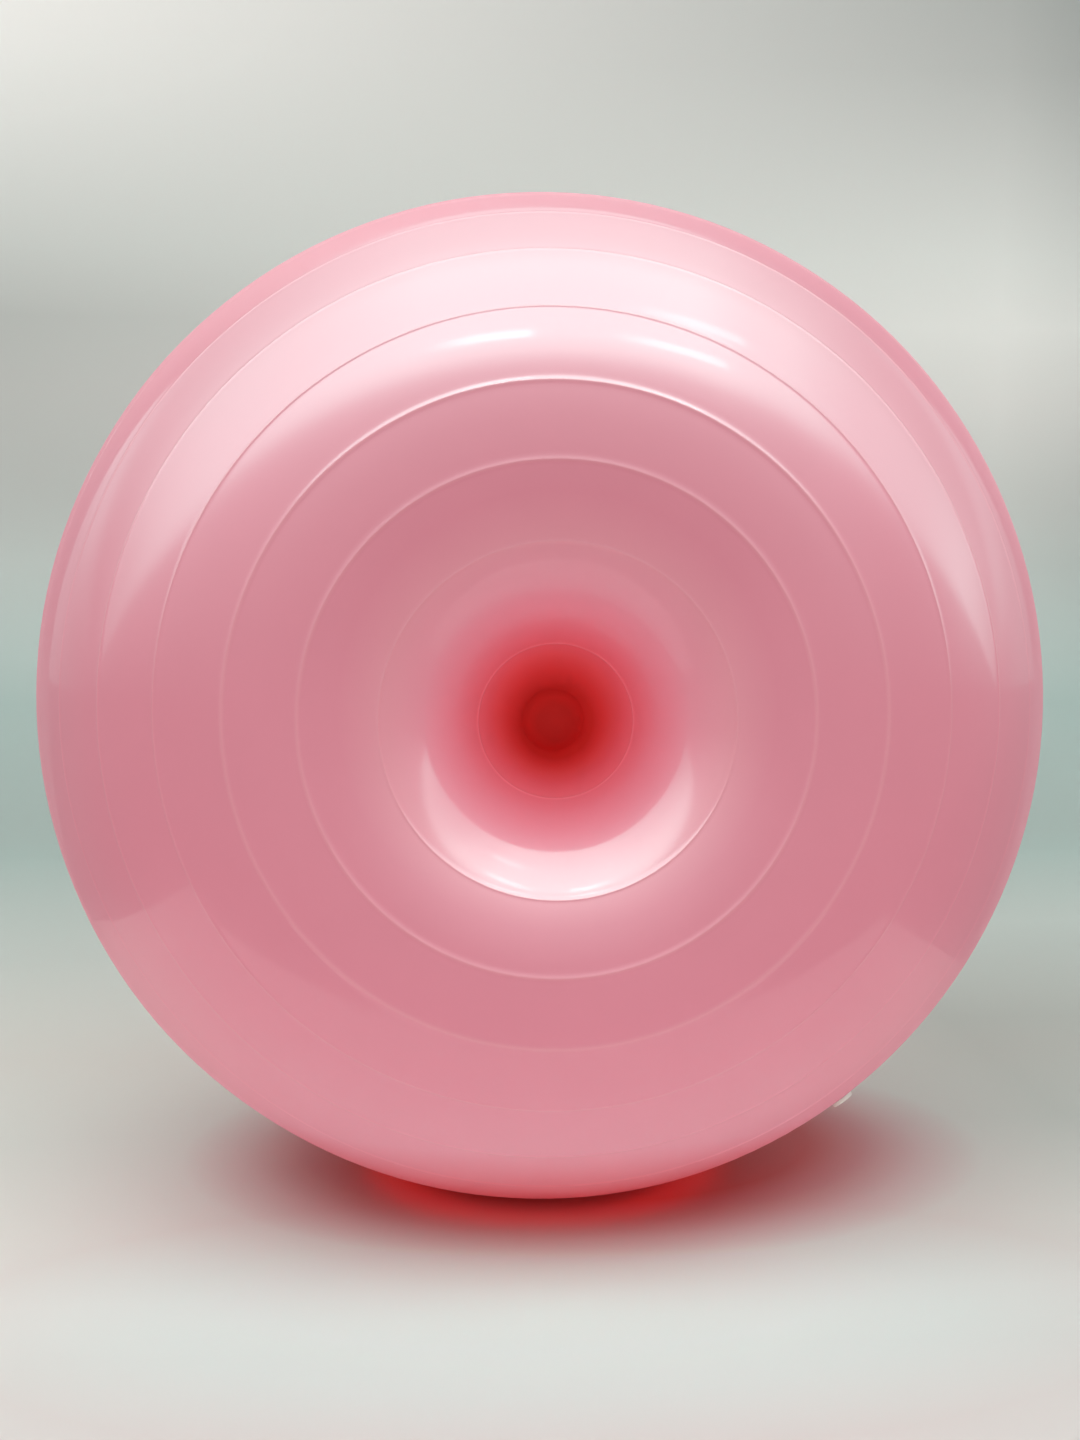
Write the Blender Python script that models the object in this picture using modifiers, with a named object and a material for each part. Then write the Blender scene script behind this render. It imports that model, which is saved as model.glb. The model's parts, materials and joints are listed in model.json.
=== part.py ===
"""Donut exercise ball, 45 cm across, standing on its rim.

The ball is an air-filled PVC ring with a deep dimple in each face. The air pressure shuts the
hole of the donut, so the two dimples end in one solid tie at the middle. Raised ribs run round
both faces. A soft valve seat in the rim holds a white push-in plug, which pulls straight out.

The ring's axis is Y, the photographed face looks along -Y, and +Z is up. The origin is the
middle of the flattened patch that the ball stands on. All sizes are in metres.
"""

from math import acos, ceil, cos, hypot, pi, radians, sin

import bpy
from mathutils import Vector

# Inflated skin
OUTER_DIAMETER = 0.450
THICKNESS = 0.250
CREST_RADIUS = 0.107
CREST_FLAT = 0.004
WALL = 0.0015
CONTACT_DEPTH = 0.0025

# Dimple, throat and tie, alike in both faces. The dimple's section is bent like a spline by three
# handles: two lie inwards from the crest, one of them below it, and one rises from the throat.
SHOULDER_REACH = 0.067
CORNER_REACH = 0.073
CORNER_DROP = 0.0325
FUNNEL_RISE = 0.005
THROAT_RADIUS = 0.014
THROAT_LENGTH = 0.018
TIE_LENGTH = 0.024
TIE_RADIUS = 0.006

# Moulded ribs
RIB_STEPS = 7
RIB_WIDTH = 0.0024
RIB_HEIGHT = 0.0005
OUTER_RING_RADIUS = 0.0936
MIDDLE_RING_RADIUS = 0.0659
INNER_RING_RADIUS = 0.0312

# Place of the valve: clock angle seen from the front, and rib steps outwards from the crest. The
# ribs stand at half steps, so a whole number of steps puts the valve between two of them.
VALVE_CLOCK = radians(143)
VALVE_RIB_STEP = 5

# Valve seat
SEAT_FACE_DIAMETER = 0.018
SEAT_CHAMFER = 0.0005
SEAT_FLANGE_DIAMETER = 0.028
SEAT_FLANGE_THICKNESS = 0.0022
SEAT_SLEEVE_WALL = 0.0024
SEAT_SLEEVE_LENGTH = 0.010
BORE_DIAMETER = 0.0080

# Air plug
HEAD_DIAMETER = 0.0112
HEAD_HEIGHT = 0.0022
HEAD_ROUNDING = 0.0006
STEM_LENGTH = 0.019
STEM_CORE_DIAMETER = 0.0056
STEM_NECK_LENGTH = 0.0025
BARB_COUNT = 3
TIP_LENGTH = 0.0035
TIP_DIAMETER = 0.0030

# Gap between pieces that touch, and how finely the round forms are cut into faces
GAP = 0.0003
SKIN_SEGMENTS = 40
SKIN_STEP = radians(9)
SKIN_DIMPLE_PARTS = 11
AIR_STEP = radians(15)
AIR_DIMPLE_PARTS = 8
THROAT_STEP = radians(23)
SMALL_SEGMENTS = 24
MERGE = 0.00001
NUDGE = 0.001
REACH = 2 * OUTER_DIAMETER

# Sizes that follow from the ones above
HALF_THICKNESS = THICKNESS / 2
RIM_WIDTH = OUTER_DIAMETER / 2 - CREST_RADIUS
DIMPLE_WIDTH = CREST_RADIUS - THROAT_RADIUS
THROAT_TOP = TIE_LENGTH / 2 + THROAT_LENGTH
DIMPLE_DEPTH = HALF_THICKNESS - THROAT_TOP
CENTRE_HEIGHT = OUTER_DIAMETER / 2 - CONTACT_DEPTH
RIM_RIB_STEP = pi / 2 / RIB_STEPS
VALVE_ANGLE = VALVE_RIB_STEP * RIM_RIB_STEP

PINK = (0.80, 0.24, 0.31, 1.0)
SEAT_PINK = (0.74, 0.28, 0.34, 1.0)
WHITE = (0.86, 0.86, 0.84, 1.0)


def clear_objects():
    for old in list(bpy.data.objects):
        bpy.data.objects.remove(old, do_unlink=True)


def new_collection(name):
    collection = bpy.data.collections.new(name)
    bpy.context.scene.collection.children.link(collection)
    return collection


def material(name, colour, roughness):
    made = bpy.data.materials.new(name)
    made.use_nodes = True
    shader = made.node_tree.nodes["Principled BSDF"]
    shader.inputs["Base Color"].default_value = colour
    shader.inputs["Roughness"].default_value = roughness
    shader.inputs["Metallic"].default_value = 0.0
    return made


# On each face a quarter ellipse makes the rim's section, a spline the dimple's, and a smaller
# quarter ellipse the throat's. Each function gives a radius and a height over the mid-plane. An
# inset goes through the wall towards the air, and a negative inset stands proud of the skin.
def rim_point(angle, inset):
    radius = CREST_RADIUS + (RIM_WIDTH - inset) * sin(angle)
    return radius, (HALF_THICKNESS - inset) * cos(angle)


def dimple_curve(share):
    """The dimple's section, from the crest at share 0 to the top of the throat at share 1."""
    rest = 1 - share
    first = 4 * share * rest**3
    second = 6 * share**2 * rest**2
    third = 4 * share**3 * rest
    last = share**4
    reach = first * SHOULDER_REACH + second * CORNER_REACH + (third + last) * DIMPLE_WIDTH
    drop = second * CORNER_DROP + (third + last) * DIMPLE_DEPTH - third * FUNNEL_RISE
    return CREST_RADIUS - reach, HALF_THICKNESS - drop


def dimple_travel(share):
    """How far a point on the dimple's section moves for each unit of its share."""
    radius_before, height_before = dimple_curve(share - NUDGE)
    radius_after, height_after = dimple_curve(share + NUDGE)
    across = (radius_after - radius_before) / (2 * NUDGE)
    along = (height_after - height_before) / (2 * NUDGE)
    return across, along


def dimple_point(share, inset):
    radius, height = dimple_curve(share)
    across, along = dimple_travel(share)
    travel = hypot(across, along)
    return radius - inset * along / travel, height + inset * across / travel


def dimple_share(ring_radius):
    """The share at which the dimple's section has a given radius, found by halving."""
    low = 0.0
    high = 1.0
    while high - low > MERGE:
        middle = (low + high) / 2
        if dimple_curve(middle)[0] > ring_radius:
            low = middle
        else:
            high = middle
    return low


def throat_point(angle, inset):
    radius = (THROAT_RADIUS + inset) * cos(angle)
    return radius, THROAT_TOP - (THROAT_LENGTH + inset) * sin(angle)


def rim_travel(angle):
    """How far a point on the rim's section moves for each radian of its angle."""
    return hypot(RIM_WIDTH * cos(angle), HALF_THICKNESS * sin(angle))


def rib_marks(place, travel):
    """The two feet and the ridge of one raised rib, each with its height."""
    foot = RIB_WIDTH / 2 / travel
    return [(place - foot, 0.0), (place, RIB_HEIGHT), (place + foot, 0.0)]


def filled(marks, step):
    """The marks in order, with plain skin points put in where they are far apart."""
    ordered = sorted(marks)
    close = [ordered[0]]
    for before, after in zip(ordered, ordered[1:]):
        count = ceil((after[0] - before[0]) / step)
        for index in range(1, count):
            close.append((before[0] + (after[0] - before[0]) * index / count, 0.0))
        close.append(after)
    return close


def mirrored(upper):
    """A section's upper half, from the axis out to the mid-plane, and the same half below it."""
    lower = [(radius, -height) for radius, height in upper if height > MERGE]
    return upper + lower[::-1]


def outer_section():
    rim = [(0.0, 0.0), (pi / 2, 0.0)]
    for count in range(RIB_STEPS):
        angle = (count + 0.5) * RIM_RIB_STEP
        rim += rib_marks(angle, rim_travel(angle))
    dimple = [(0.0, 0.0), (1.0, 0.0)]
    for ring_radius in (OUTER_RING_RADIUS, MIDDLE_RING_RADIUS, INNER_RING_RADIUS):
        share = dimple_share(ring_radius)
        dimple += rib_marks(share, hypot(*dimple_travel(share)))
    throat = filled([(0.0, 0.0), (pi / 2, 0.0)], THROAT_STEP)
    upper = [throat_point(angle, 0.0) for angle, lift in throat[:0:-1]]
    dimple = filled(dimple, 1 / SKIN_DIMPLE_PARTS)
    upper += [dimple_point(share, -lift) for share, lift in dimple[:0:-1]]
    upper.append((CREST_RADIUS - CREST_FLAT / 2, HALF_THICKNESS))
    upper.append((CREST_RADIUS + CREST_FLAT / 2, HALF_THICKNESS))
    upper += [rim_point(angle, -lift) for angle, lift in filled(rim, SKIN_STEP)[1:]]
    return mirrored(upper)


def air_section():
    tie_angle = acos(TIE_RADIUS / (THROAT_RADIUS + WALL))
    throat = filled([(0.0, 0.0), (tie_angle, 0.0)], THROAT_STEP)
    dimple = filled([(0.0, 0.0), (1.0, 0.0)], 1 / AIR_DIMPLE_PARTS)
    rim = filled([(0.0, 0.0), (pi / 2, 0.0)], AIR_STEP)
    upper = [throat_point(angle, WALL) for angle, lift in throat[:0:-1]]
    upper += [dimple_point(share, WALL) for share, lift in dimple[:0:-1]]
    upper += [rim_point(angle, WALL) for angle, lift in rim]
    return mirrored(upper)


def turned(name, section, segments, closed, collection):
    """A solid turned round its own Z axis from a section that runs from its top to its bottom."""
    points = [(max(radius, 0.0), 0.0, height) for radius, height in section]
    edges = [(index, index + 1) for index in range(len(points) - 1)]
    if closed:
        edges.append((len(points) - 1, 0))
    mesh = bpy.data.meshes.new(name)
    mesh.from_pydata(points, edges, [])
    turned_object = bpy.data.objects.new(name, mesh)
    collection.objects.link(turned_object)
    screw = turned_object.modifiers.new("turn", "SCREW")
    screw.axis = "Z"
    screw.steps = segments
    screw.render_steps = segments
    screw.use_merge_vertices = True
    screw.merge_threshold = MERGE
    screw.use_smooth_shade = True
    return turned_object


def as_cutter(cutter, cutters):
    for collection in list(cutter.users_collection):
        collection.objects.unlink(cutter)
    cutters.objects.link(cutter)
    cutter.display_type = "WIRE"
    cutter.hide_render = True
    return cutter


def cut(target, cutter):
    boolean = target.modifiers.new("cut " + cutter.name, "BOOLEAN")
    boolean.operation = "DIFFERENCE"
    boolean.solver = "EXACT"
    boolean.object = cutter


def floor_cutter(name, top, cutters):
    """A block whose top flattens the ball where it rests."""
    bpy.ops.mesh.primitive_cube_add(size=REACH, location=(0.0, 0.0, top - REACH / 2))
    block = bpy.context.object
    block.name = name
    return as_cutter(block, cutters)


def valve_frame():
    """Where the valve's axis leaves the skin, and the direction in which it points."""
    radius, height = rim_point(VALVE_ANGLE, 0.0)
    across = HALF_THICKNESS * sin(VALVE_ANGLE)
    along = RIM_WIDTH * cos(VALVE_ANGLE)
    place = Vector((radius * sin(VALVE_CLOCK), -height, CENTRE_HEIGHT + radius * cos(VALVE_CLOCK)))
    direction = Vector((across * sin(VALVE_CLOCK), -along, across * cos(VALVE_CLOCK)))
    return place, direction.normalized()


def stand_on_valve(piece):
    place, direction = valve_frame()
    piece.location = place
    piece.rotation_mode = "QUATERNION"
    piece.rotation_quaternion = direction.to_track_quat("Z", "Y")


def lay_on_ring_axis(piece):
    piece.location = (0.0, 0.0, CENTRE_HEIGHT)
    piece.rotation_euler = (pi / 2, 0.0, 0.0)


def flange_depth():
    """Depth at which the seat's flat flange clears the curved, faceted inside of the skin."""
    travel = rim_travel(VALVE_ANGLE)
    curve_radius = travel**3 / (RIM_WIDTH * HALF_THICKNESS)
    curve_drop = (SEAT_FLANGE_DIAMETER / 2) ** 2 / (2 * curve_radius)
    valve_radius = rim_point(VALVE_ANGLE, 0.0)[0]
    facet_drop = valve_radius * (1 - cos(pi / SKIN_SEGMENTS)) + curve_radius * (1 - cos(AIR_STEP / 2))
    return WALL + curve_drop + facet_drop + GAP


def build_skin(collection, cutters):
    skin = turned("ball_skin", outer_section(), SKIN_SEGMENTS, False, collection)
    lay_on_ring_axis(skin)
    air = turned("air_space", air_section(), SKIN_SEGMENTS, True, cutters)
    lay_on_ring_axis(air)
    as_cutter(air, cutters)
    cut(air, floor_cutter("floor_inside", WALL, cutters))
    cut(skin, floor_cutter("floor_outside", 0.0, cutters))
    cut(skin, air)
    hole_radius = SEAT_FACE_DIAMETER / 2 + GAP
    bpy.ops.mesh.primitive_cylinder_add(
        vertices=SMALL_SEGMENTS, radius=hole_radius, depth=SEAT_FLANGE_DIAMETER
    )
    hole = bpy.context.object
    hole.name = "valve_hole"
    stand_on_valve(hole)
    cut(skin, as_cutter(hole, cutters))
    skin.data.materials.append(material("pink_pvc", PINK, 0.22))


def build_seat(collection):
    face_radius = SEAT_FACE_DIAMETER / 2
    flange_radius = SEAT_FLANGE_DIAMETER / 2
    bore_radius = BORE_DIAMETER / 2
    sleeve_radius = bore_radius + SEAT_SLEEVE_WALL
    flange_top = -flange_depth()
    flange_bottom = flange_top - SEAT_FLANGE_THICKNESS
    sleeve_bottom = flange_bottom - SEAT_SLEEVE_LENGTH
    section = [
        (bore_radius, 0.0),
        (face_radius - SEAT_CHAMFER, 0.0),
        (face_radius, -SEAT_CHAMFER),
        (face_radius, flange_top),
        (flange_radius, flange_top),
        (flange_radius, flange_bottom),
        (sleeve_radius, flange_bottom),
        (sleeve_radius, sleeve_bottom),
        (bore_radius, sleeve_bottom),
    ]
    seat = turned("valve_seat", section, SMALL_SEGMENTS, True, collection)
    stand_on_valve(seat)
    seat.data.materials.append(material("seat_pvc", SEAT_PINK, 0.4))


def build_plug(collection):
    head_radius = HEAD_DIAMETER / 2
    core_radius = STEM_CORE_DIAMETER / 2
    barb_radius = BORE_DIAMETER / 2 - GAP
    head_top = GAP + HEAD_HEIGHT
    section = [
        (0.0, head_top),
        (head_radius - HEAD_ROUNDING, head_top),
        (head_radius, head_top - HEAD_ROUNDING),
        (head_radius, GAP),
        (core_radius, GAP),
    ]
    pitch = (STEM_LENGTH - STEM_NECK_LENGTH - TIP_LENGTH) / BARB_COUNT
    for barb in range(BARB_COUNT):
        shoulder = -STEM_NECK_LENGTH - barb * pitch
        section.append((core_radius, shoulder))
        section.append((barb_radius, shoulder - pitch / 4))
        section.append((core_radius, shoulder - pitch * 3 / 4))
    section += [
        (core_radius, -STEM_LENGTH + TIP_LENGTH),
        (TIP_DIAMETER / 2, -STEM_LENGTH),
        (0.0, -STEM_LENGTH),
    ]
    plug = turned("air_plug", section, SMALL_SEGMENTS, False, collection)
    stand_on_valve(plug)
    plug.data.materials.append(material("white_plug", WHITE, 0.4))


clear_objects()
pieces = new_collection("donut_exercise_ball")
cutter_collection = new_collection("cutters")
build_skin(pieces, cutter_collection)
build_seat(pieces)
build_plug(pieces)
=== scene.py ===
import json
from math import cos, pi, radians, sin

import bmesh
import bpy
from mathutils import Matrix, Vector


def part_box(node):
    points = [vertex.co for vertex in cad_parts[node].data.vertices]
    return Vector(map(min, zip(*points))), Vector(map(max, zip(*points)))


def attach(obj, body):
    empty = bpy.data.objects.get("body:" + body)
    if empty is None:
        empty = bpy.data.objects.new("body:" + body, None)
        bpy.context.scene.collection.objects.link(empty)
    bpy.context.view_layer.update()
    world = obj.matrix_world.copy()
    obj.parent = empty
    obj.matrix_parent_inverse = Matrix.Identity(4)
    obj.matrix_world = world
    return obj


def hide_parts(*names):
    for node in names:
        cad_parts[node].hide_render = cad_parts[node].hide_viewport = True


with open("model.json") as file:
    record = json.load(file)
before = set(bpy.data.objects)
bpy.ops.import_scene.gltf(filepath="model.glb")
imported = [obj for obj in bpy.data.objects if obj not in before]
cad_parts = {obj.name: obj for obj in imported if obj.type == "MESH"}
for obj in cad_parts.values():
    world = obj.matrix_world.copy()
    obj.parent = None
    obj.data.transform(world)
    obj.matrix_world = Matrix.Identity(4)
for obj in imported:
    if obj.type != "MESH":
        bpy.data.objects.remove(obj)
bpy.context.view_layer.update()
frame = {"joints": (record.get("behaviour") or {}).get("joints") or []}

# Inflated skin
# One rotationally moulded ring of soft glossy PVC, about 1.5 mm thick and blown up with air. Its
# ribs are cut into the mould, and the air pressure pinches its hole shut into two deep dimples.
skin_low, skin_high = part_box("ball_skin")
OUTER_RADIUS = (skin_high.x - skin_low.x) / 2
HALF_THICKNESS = (skin_high.y - skin_low.y) / 2
CENTRE_HEIGHT = skin_high.z - OUTER_RADIUS
CREST_RADIUS = 0.107
RIM_WIDTH = OUTER_RADIUS - CREST_RADIUS
RIM_RIBS = 7
SKIN_SIZES = {
    "Outer Radius": OUTER_RADIUS,
    "Half Thickness": HALF_THICKNESS,
    "Centre Height": CENTRE_HEIGHT,
    "Crest Radius": CREST_RADIUS,
    "Dimple Depth": 0.095,
    "Shoulder Reach": 0.72,
    "Corner Reach": 0.785,
    "Corner Drop": 0.342,
    "Funnel Drop": 0.95,
    "Outer Ring Share": 0.0535,
    "Middle Ring Share": 0.1995,
    "Inner Ring Share": 0.538,
    "Throat Radius": 0.014,
    "Throat Length": 0.018,
    "Tie Angle": radians(67),
    "Wall": 0.0015,
    "Rim Ribs": float(RIM_RIBS),
    "Bold Rib Width": 0.0030,
    "Bold Rib Height": 0.00023,
    "Fine Rib Width": 0.0014,
    "Fine Rib Height": 0.00018,
    "Panel Dip": 0.00025,
    "Top Stretch": radians(2.4),
    "Throat Sag": 0.0070,
    "Throat Drift": 0.0035,
    "Waviness": 0.0007,
    "Columns": 160,
    "Rows Per Rib": 20,
    "Inside Rows Per Rib": 4,
}

# Places on the skin's section, in marks past the crest: the three ribs of the dimple, the start of
# the throat, and the ring's axis.
OUTER_RING_MARK = 0.5
MIDDLE_RING_MARK = 1.5
INNER_RING_MARK = 2.5
THROAT_MARK = 3.5
AXIS_MARK = 4.5
MARK_TOLERANCE = 0.01
DIMPLE_RIBS = 3.0
BOLD_RIB_REACH = 0.75
PANEL_DIP_FALL = 4.0
ROW_CROWDING = 0.9
STRETCH_TURN = radians(15)
WAVES_PER_METRE = 9.0
MERGE_DISTANCE = 0.000001


def connect(slot, value):
    """Links a field to a socket, or sets the socket's own value."""
    if isinstance(value, Field):
        slot.id_data.links.new(value.socket, slot)
    else:
        slot.default_value = value


class Field:
    """A number that varies over a mesh or a surface. Arithmetic on it adds Math nodes."""

    def __init__(self, socket):
        self.socket = socket

    def math(self, operation, *others):
        node = self.socket.id_data.nodes.new("ShaderNodeMath")
        node.operation = operation
        for slot, value in zip(node.inputs, (self,) + others):
            connect(slot, value)
        return Field(node.outputs[0])

    def __add__(self, other):
        return self.math("ADD", other)

    def __sub__(self, other):
        return self.math("SUBTRACT", other)

    def __mul__(self, other):
        return self.math("MULTIPLY", other)

    def __truediv__(self, other):
        return self.math("DIVIDE", other)

    def __neg__(self):
        return self.math("MULTIPLY", -1.0)

    def clamped(self):
        return self.math("MAXIMUM", 0.0).math("MINIMUM", 1.0)


def add_node(tree, kind, **inputs):
    """A new node with some of its inputs linked or set, named by their socket with spaces as _."""
    node = tree.nodes.new(kind)
    for name, value in inputs.items():
        connect(node.inputs[name.replace("_", " ")], value)
    return node


def dimple_curve(share, size):
    """Radius and height on the dimple, from the crest at share 0 to the throat at share 1. It is a
    Bezier curve with five control points, which the reaches and drops place."""
    rest = -share + 1.0
    first = share * rest * rest * rest * 4.0
    second = share * share * rest * rest * 6.0
    third = share * share * share * rest * 4.0
    fourth = share * share * share * share
    reach = first * size["Shoulder Reach"] + second * size["Corner Reach"] + third + fourth
    drop = second * size["Corner Drop"] + third * size["Funnel Drop"] + fourth
    radius = -(size["Crest Radius"] - size["Throat Radius"]) * reach + size["Crest Radius"]
    return radius, -size["Dimple Depth"] * drop + size["Half Thickness"]


def top_stretch(turn, size):
    """How far the ribs on top of the rim lie outwards of even steps, because the ball's weight
    rests on its lower half and leaves the upper half fuller."""
    near_top = (turn - STRETCH_TURN).math("COSINE").clamped()
    return near_top * near_top * size["Top Stretch"]


def section_point(mark, stretch, size):
    """Radius and height on the skin's section. Mark 0 is the rim's middle, the ribs stand at the
    half marks, and the crest is the last whole mark of the rim."""
    quarter = pi / 2
    beyond = mark - size["Rim Ribs"]
    rim = (-beyond / size["Rim Ribs"]).clamped() * quarter
    rim = rim + stretch * (rim * 2.0).math("SINE")
    outer, middle, inner = (size[ring + " Ring Share"] for ring in ("Outer", "Middle", "Inner"))
    share = (beyond / OUTER_RING_MARK).clamped() * outer
    share += (beyond - OUTER_RING_MARK).clamped() * (middle - outer)
    share += (beyond - MIDDLE_RING_MARK).clamped() * (inner - middle)
    share += (beyond - INNER_RING_MARK).clamped() * (-inner + 1.0)
    throat = (beyond - THROAT_MARK).clamped() * quarter
    dimple_radius, dimple_height = dimple_curve(share, size)
    rim_width = size["Outer Radius"] - size["Crest Radius"]
    radius = dimple_radius + rim_width * rim.math("SINE")
    radius -= size["Throat Radius"] * (-throat.math("COSINE") + 1.0)
    height = dimple_height - size["Half Thickness"] * (-rim.math("COSINE") + 1.0)
    height -= size["Throat Length"] * throat.math("SINE")
    return radius, height


def wrapped_grid(tree, size, rows_per_mark, last_mark, extra_rows):
    """A flat grid that will be wound round the ring's axis: its turn angle and signed mark."""
    rows = last_mark * rows_per_mark * 2.0
    grid = add_node(tree, "GeometryNodeMeshGrid", Size_X=1.0, Size_Y=1.0)
    connect(grid.inputs["Vertices X"], size["Columns"] + 1.0)
    connect(grid.inputs["Vertices Y"], rows + 1.0 + extra_rows)
    place = tree.nodes.new("GeometryNodeInputPosition")
    split = add_node(tree, "ShaderNodeSeparateXYZ")
    tree.links.new(place.outputs["Position"], split.inputs["Vector"])
    turn = Field(split.outputs["X"]) * (2 * pi)
    row = (Field(split.outputs["Y"]) + 0.5) * (rows + float(extra_rows))
    return grid, turn, row / rows_per_mark - last_mark


def wind(tree, size, geometry, turn, side, radius, height):
    """Moves the grid's points to their place on the ring. The tie between the dimples hangs a
    little low, so the dimple's middle runs off the ring's axis as it gets deeper."""
    in_dimple = radius.math("LESS_THAN", size["Crest Radius"])
    depth = (-height / size["Half Thickness"] + 1.0) * in_dimple
    place = add_node(
        tree,
        "ShaderNodeCombineXYZ",
        X=-(radius * turn.math("SINE")) + depth * size["Throat Drift"],
        Y=-(side * height),
        Z=radius * turn.math("COSINE") - depth * size["Throat Sag"] + size["Centre Height"],
    )
    moved = tree.nodes.new("GeometryNodeSetPosition")
    tree.links.new(geometry, moved.inputs["Geometry"])
    tree.links.new(place.outputs["Vector"], moved.inputs["Position"])
    merged = add_node(tree, "GeometryNodeMergeByDistance", Distance=MERGE_DISTANCE)
    tree.links.new(moved.outputs["Geometry"], merged.inputs["Geometry"])
    return merged.outputs["Geometry"]


def moved_along_normals(tree, geometry, distance):
    offset = tree.nodes.new("ShaderNodeVectorMath")
    offset.operation = "SCALE"
    normal = tree.nodes.new("GeometryNodeInputNormal")
    tree.links.new(normal.outputs["Normal"], offset.inputs["Vector"])
    connect(offset.inputs["Scale"], distance)
    moved = tree.nodes.new("GeometryNodeSetPosition")
    tree.links.new(geometry, moved.inputs["Geometry"])
    tree.links.new(offset.outputs["Vector"], moved.inputs["Offset"])
    return moved.outputs["Geometry"]


def rib_lift(tree, size, mark, stretch, radius, height):
    """How far a point is raised by the rib that it is nearest to, or lies below it on the flatter
    panel between two ribs. The ribs on either side of the crest are bolder than the others."""
    nearest = mark.math("FLOOR") + 0.5
    rib_radius, rib_height = section_point(nearest, stretch, size)
    across = radius - rib_radius
    along = height - rib_height
    distance = (across * across + along * along).math("SQRT")
    from_crest = (nearest - size["Rim Ribs"]).math("ABSOLUTE")
    bold = from_crest.math("LESS_THAN", BOLD_RIB_REACH)
    extra = size["Bold Rib Height"] - size["Fine Rib Height"]
    wider = size["Bold Rib Width"] - size["Fine Rib Width"]
    bump = tree.nodes.new("ShaderNodeMapRange")
    bump.interpolation_type = "SMOOTHSTEP"
    connect(bump.inputs["Value"], distance)
    connect(bump.inputs["From Min"], 0.0)
    connect(bump.inputs["From Max"], (size["Fine Rib Width"] + wider * bold) / 2.0)
    connect(bump.inputs["To Min"], size["Fine Rib Height"] + extra * bold)
    connect(bump.inputs["To Max"], 0.0)
    ribbed = nearest.math("LESS_THAN", size["Rim Ribs"] + DIMPLE_RIBS)
    from_middle = (mark - mark.math("ROUND")) * 2.0
    panelled = mark.math("LESS_THAN", size["Rim Ribs"] + INNER_RING_MARK)
    towards_crest = (mark / size["Rim Ribs"]).math("MINIMUM", 1.0).math("POWER", PANEL_DIP_FALL)
    dip = (-(from_middle * from_middle) + 1.0) * panelled * towards_crest * size["Panel Dip"]
    return Field(bump.outputs["Result"]) * ribbed - dip


def outer_surface(tree, size):
    """The side of the wall that is seen, with its ribs, panels and slight waviness."""
    last_mark = size["Rim Ribs"] + AXIS_MARK
    grid, turn, signed_mark = wrapped_grid(tree, size, size["Rows Per Rib"], last_mark, 0)
    even = signed_mark.math("ABSOLUTE")
    mark = even + (even * (2 * pi)).math("SINE") * (ROW_CROWDING / (2 * pi))
    stretch = top_stretch(turn, size)
    radius, height = section_point(mark, stretch, size)
    stored = add_node(tree, "GeometryNodeStoreNamedAttribute", Name="rib_lift")
    tree.links.new(grid.outputs["Mesh"], stored.inputs["Geometry"])
    connect(stored.inputs["Value"], rib_lift(tree, size, mark, stretch, radius, height))
    wound = wind(
        tree, size, stored.outputs["Geometry"], turn, signed_mark.math("SIGN"), radius, height
    )
    lift = add_node(tree, "GeometryNodeInputNamedAttribute", Name="rib_lift")
    noise = add_node(
        tree, "ShaderNodeTexNoise", Scale=WAVES_PER_METRE, Detail=1.0, Roughness=0.4
    )
    noise.noise_dimensions = "3D"
    wave = (Field(noise.outputs["Fac"]) - 0.5) * size["Waviness"]
    raised = moved_along_normals(tree, wound, Field(lift.outputs["Attribute"]) + wave)
    return flattened(tree, raised, 0.0)


def flattened(tree, geometry, floor):
    """Presses the part of the skin below the floor flat."""
    place = tree.nodes.new("GeometryNodeInputPosition")
    split = add_node(tree, "ShaderNodeSeparateXYZ")
    tree.links.new(place.outputs["Position"], split.inputs["Vector"])
    height = Field(split.outputs["Z"]).math("MAXIMUM", floor)
    pressed = add_node(
        tree, "ShaderNodeCombineXYZ", X=Field(split.outputs["X"]), Y=Field(split.outputs["Y"]), Z=height
    )
    moved = tree.nodes.new("GeometryNodeSetPosition")
    tree.links.new(geometry, moved.inputs["Geometry"])
    tree.links.new(pressed.outputs["Vector"], moved.inputs["Position"])
    return moved.outputs["Geometry"]


def inner_surface(tree, size):
    """The side of the wall that faces the air, which ends at the tie between the two dimples."""
    last_mark = size["Rim Ribs"] + THROAT_MARK + size["Tie Angle"] / (pi / 2)
    grid, turn, signed_mark = wrapped_grid(tree, size, size["Inside Rows Per Rib"], last_mark, 1)
    closing = signed_mark.math("GREATER_THAN", last_mark + MARK_TOLERANCE)
    signed_mark = signed_mark - closing * (signed_mark + last_mark)
    stretch = top_stretch(turn, size)
    radius, height = section_point(signed_mark.math("ABSOLUTE"), stretch, size)
    wound = wind(
        tree, size, grid.outputs["Mesh"], turn, signed_mark.math("SIGN"), radius, height
    )
    inset = moved_along_normals(tree, wound, -size["Wall"])
    flipped = tree.nodes.new("GeometryNodeFlipFaces")
    tree.links.new(flattened(tree, inset, size["Wall"]), flipped.inputs["Mesh"])
    return flipped.outputs["Mesh"]


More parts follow.
